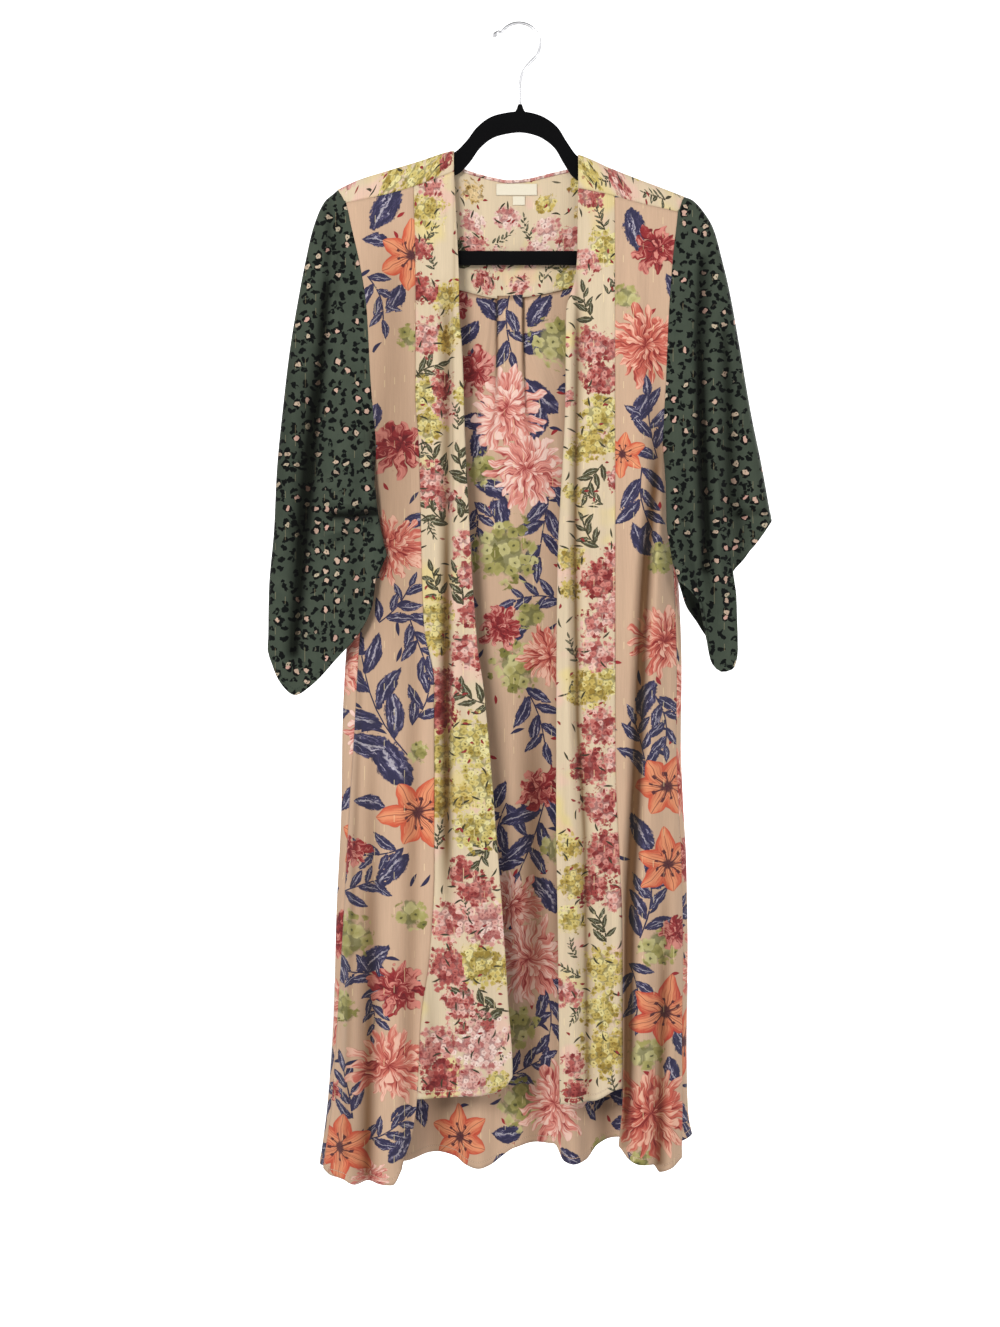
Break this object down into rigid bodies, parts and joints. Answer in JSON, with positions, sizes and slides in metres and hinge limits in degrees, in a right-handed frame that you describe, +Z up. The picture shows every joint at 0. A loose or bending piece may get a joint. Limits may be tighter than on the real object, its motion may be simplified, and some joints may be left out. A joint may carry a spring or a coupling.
{
  "type": "long open kimono coat on a hanger",
  "caption": "Long open kimono coat in crinkled floral print with wide sage leopard-print sleeves, on a slim black flocked hanger",
  "frame": {"origin": "seat of the hook: the inner top of its wire", "axes": "+Z up, the front faces -Y, +X to the viewer's right"},
  "size_m": [0.5547, 0.0672, 1.2721],
  "materials": {
    "print_cloth": "matte",
    "small_print_cloth": "matte",
    "sleeve_cloth": "matte",
    "label_cloth": "satin",
    "black_flock": "flocked",
    "bright_wire": "polished"
  },
  "bodies": {
    "root": {"back_yoke": "small_print_cloth", "back_panel": "print_cloth", "side_front_left": "print_cloth", "side_front_right": "print_cloth", "front_band_left": "small_print_cloth", "front_band_right": "small_print_cloth", "sleeve_left": "sleeve_cloth", "sleeve_right": "sleeve_cloth", "neck_binding": "small_print_cloth", "neck_label": "label_cloth", "size_label": "label_cloth", "hanger_body": "black_flock", "hanger_hook": "bright_wire"}
  },
  "joints": []
}
